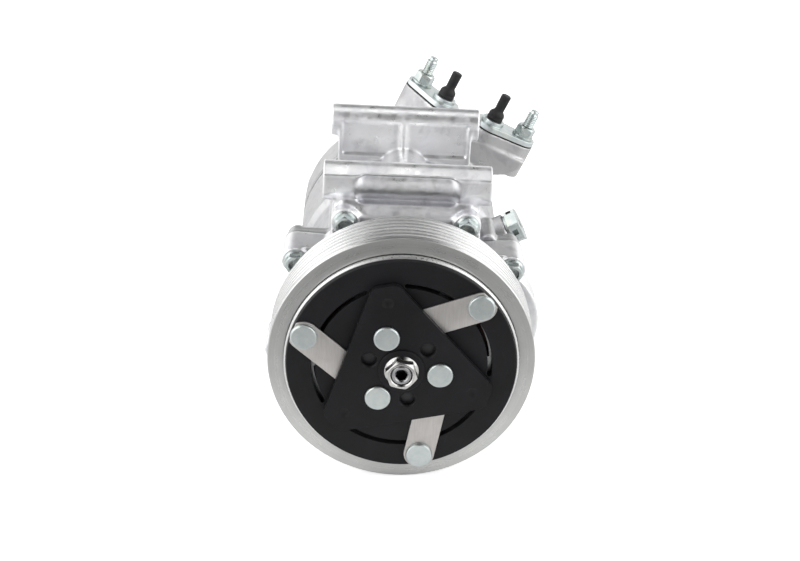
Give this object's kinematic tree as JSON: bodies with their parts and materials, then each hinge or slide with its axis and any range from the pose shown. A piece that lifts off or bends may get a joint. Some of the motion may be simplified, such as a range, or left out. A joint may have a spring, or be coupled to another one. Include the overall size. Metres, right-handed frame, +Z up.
{
  "type": "automotive air conditioning compressor",
  "caption": "Wobble-plate car air conditioning compressor with ribbed belt pulley, electromagnetic clutch, cast aluminium housings, two cross-bored lugs and capped hose ports.",
  "frame": {"origin": "shaft axis in the plane of the pulley's front rim face", "axes": "+Y along the shaft from the clutch to the rear head, +Z up towards the mounting lugs, +X to the right seen from the clutch"},
  "size_m": [0.1384, 0.2073, 0.1523],
  "materials": {
    "cast_aluminium": "as cast, bead blasted",
    "machined_aluminium": "machined",
    "machined_steel": "turned, satin",
    "zinc_plated": "clear zinc plated",
    "zinc_sheet": "clear zinc plated sheet",
    "rivet_zinc": "clear zinc plated, formed head",
    "black_ecoat": "black electro-coat, low sheen",
    "spring_steel": "bare spring strip",
    "bright_nut": "bright nickel plated",
    "ground_steel": "ground",
    "bearing_steel": "polished",
    "dark_steel": "phosphated",
    "black_rubber": "moulded, matt",
    "coil_resin": "potting resin",
    "lead_plastic": "moulded",
    "gasket": "coated gasket",
    "brass_valve": "turned"
  },
  "bodies": {
    "root": {"front_housing": "cast_aluminium", "cylinder_housing": "cast_aluminium", "rear_head": "cast_aluminium", "housing_bolts": "zinc_plated", "head_bolts": "zinc_plated", "port_nuts": "zinc_plated", "port_studs": "zinc_plated", "port_cover_plates": "zinc_sheet", "port_seals": "black_rubber", "port_plugs": "black_rubber", "pressure_relief_valve": "zinc_plated", "oil_plug": "zinc_plated", "coil_housing": "dark_steel", "coil_winding": "coil_resin", "coil_lead": "lead_plastic", "snap_rings": "dark_steel", "bearing_inner_race": "bearing_steel", "front_needle_bearing": "bearing_steel", "rear_needle_bearing": "bearing_steel", "thrust_bearing": "bearing_steel", "shaft_seal": "black_rubber", "case_o_ring": "black_rubber", "guide_pin": "bearing_steel", "cylinder_gasket": "gasket", "head_gasket": "gasket", "suction_reed_plate": "spring_steel", "valve_plate": "ground_steel", "discharge_reeds": "spring_steel", "reed_retainer": "dark_steel", "control_valve": "brass_valve"},
    "pulley": {"pulley": "machined_steel", "bearing_outer_race": "bearing_steel"},
    "ball_set": {"bearing_balls": "bearing_steel"},
    "drive": {"drive_shaft": "ground_steel", "clutch_hub": "ground_steel", "hub_plate": "black_ecoat", "hub_rivets": "rivet_zinc", "shaft_nut": "bright_nut", "leaf_springs": "spring_steel", "cam_rotor": "dark_steel", "journal_hub": "ground_steel", "hinge_pin": "bearing_steel", "return_spring": "spring_steel"},
    "armature": {"armature_plate": "black_ecoat", "armature_rivets": "rivet_zinc"},
    "wobble": {"wobble_plate": "machined_aluminium"},
    "rod_1": {"connecting_rod_1": "ground_steel"},
    "piston_1": {"piston_1": "machined_aluminium"},
    "rod_2": {"connecting_rod_2": "ground_steel"},
    "piston_2": {"piston_2": "machined_aluminium"},
    "rod_3": {"connecting_rod_3": "ground_steel"},
    "piston_3": {"piston_3": "machined_aluminium"},
    "rod_4": {"connecting_rod_4": "ground_steel"},
    "piston_4": {"piston_4": "machined_aluminium"},
    "rod_5": {"connecting_rod_5": "ground_steel"},
    "piston_5": {"piston_5": "machined_aluminium"},
    "rod_6": {"connecting_rod_6": "ground_steel"},
    "piston_6": {"piston_6": "machined_aluminium"},
    "rod_7": {"connecting_rod_7": "ground_steel"},
    "piston_7": {"piston_7": "machined_aluminium"}
  },
  "joints": [
    {"name": "shaft_spin", "type": "hinge", "parent": "root", "child": "drive", "pos_m": [0, 0, 0], "axis": [0, 1, 0], "continuous": true},
    {"name": "pulley_spin", "type": "hinge", "parent": "root", "child": "pulley", "pos_m": [0, 0.014, 0], "axis": [0, 1, 0], "continuous": true},
    {"name": "bearing_balls_spin", "type": "hinge", "parent": "root", "child": "ball_set", "pos_m": [0, 0.014, 0], "axis": [0, 1, 0], "continuous": true},
    {"name": "clutch_engage", "type": "slide", "parent": "drive", "child": "armature", "axis": [0, 1, 0], "range_m": [0, 0.0005], "deforming": ["leaf_springs"]},
    {"name": "wobble_nutation", "type": "hinge", "parent": "drive", "child": "wobble", "pos_m": [0, 0.078, 0], "axis": [0, 0.9659, 0.2588], "continuous": true},
    {"name": "rod_1_swivel", "type": "hinge", "parent": "wobble", "child": "rod_1", "pos_m": [0, 0.06894, 0.03381], "axis": [0, 0.9659, 0.2588], "continuous": true},
    {"name": "piston_1_stroke", "type": "hinge", "parent": "rod_1", "child": "piston_1", "pos_m": [0, 0.06894, 0.03381], "axis": [0, 1, 0], "continuous": true},
    {"name": "rod_2_swivel", "type": "hinge", "parent": "wobble", "child": "rod_2", "pos_m": [0.02736, 0.07235, 0.02108], "axis": [0, 0.9659, 0.2588], "continuous": true},
    {"name": "piston_2_stroke", "type": "hinge", "parent": "rod_2", "child": "piston_2", "pos_m": [0.02736, 0.07235, 0.02108], "axis": [0, 1, 0], "continuous": true},
    {"name": "rod_3_swivel", "type": "hinge", "parent": "wobble", "child": "rod_3", "pos_m": [0.03412, 0.08002, -0.00752], "axis": [0, 0.9659, 0.2588], "continuous": true},
    {"name": "piston_3_stroke", "type": "hinge", "parent": "rod_3", "child": "piston_3", "pos_m": [0.03412, 0.08002, -0.00752], "axis": [0, 1, 0], "continuous": true},
    {"name": "rod_4_swivel", "type": "hinge", "parent": "wobble", "child": "rod_4", "pos_m": [0.01519, 0.08616, -0.03046], "axis": [0, 0.9659, 0.2588], "continuous": true},
    {"name": "piston_4_stroke", "type": "hinge", "parent": "rod_4", "child": "piston_4", "pos_m": [0.01519, 0.08616, -0.03046], "axis": [0, 1, 0], "continuous": true},
    {"name": "rod_5_swivel", "type": "hinge", "parent": "wobble", "child": "rod_5", "pos_m": [-0.01519, 0.08616, -0.03046], "axis": [0, 0.9659, 0.2588], "continuous": true},
    {"name": "piston_5_stroke", "type": "hinge", "parent": "rod_5", "child": "piston_5", "pos_m": [-0.01519, 0.08616, -0.03046], "axis": [0, 1, 0], "continuous": true},
    {"name": "rod_6_swivel", "type": "hinge", "parent": "wobble", "child": "rod_6", "pos_m": [-0.03412, 0.08002, -0.00752], "axis": [0, 0.9659, 0.2588], "continuous": true},
    {"name": "piston_6_stroke", "type": "hinge", "parent": "rod_6", "child": "piston_6", "pos_m": [-0.03412, 0.08002, -0.00752], "axis": [0, 1, 0], "continuous": true},
    {"name": "rod_7_swivel", "type": "hinge", "parent": "wobble", "child": "rod_7", "pos_m": [-0.02736, 0.07235, 0.02108], "axis": [0, 0.9659, 0.2588], "continuous": true},
    {"name": "piston_7_stroke", "type": "hinge", "parent": "rod_7", "child": "piston_7", "pos_m": [-0.02736, 0.07235, 0.02108], "axis": [0, 1, 0], "continuous": true}
  ],
  "couplings": [
    {"joint": "bearing_balls_spin", "follows": "pulley_spin", "ratio": 0.57556},
    {"joint": "wobble_nutation", "follows": "shaft_spin", "ratio": -1},
    {"joint": "rod_1_swivel", "follows": "shaft_spin", "ratio": 1},
    {"joint": "piston_1_stroke", "follows": "shaft_spin", "ratio": 1},
    {"joint": "rod_2_swivel", "follows": "shaft_spin", "ratio": 1},
    {"joint": "piston_2_stroke", "follows": "shaft_spin", "ratio": 1},
    {"joint": "rod_3_swivel", "follows": "shaft_spin", "ratio": 1},
    {"joint": "piston_3_stroke", "follows": "shaft_spin", "ratio": 1},
    {"joint": "rod_4_swivel", "follows": "shaft_spin", "ratio": 1},
    {"joint": "piston_4_stroke", "follows": "shaft_spin", "ratio": 1},
    {"joint": "rod_5_swivel", "follows": "shaft_spin", "ratio": 1},
    {"joint": "piston_5_stroke", "follows": "shaft_spin", "ratio": 1},
    {"joint": "rod_6_swivel", "follows": "shaft_spin", "ratio": 1},
    {"joint": "piston_6_stroke", "follows": "shaft_spin", "ratio": 1},
    {"joint": "rod_7_swivel", "follows": "shaft_spin", "ratio": 1},
    {"joint": "piston_7_stroke", "follows": "shaft_spin", "ratio": 1}
  ]
}
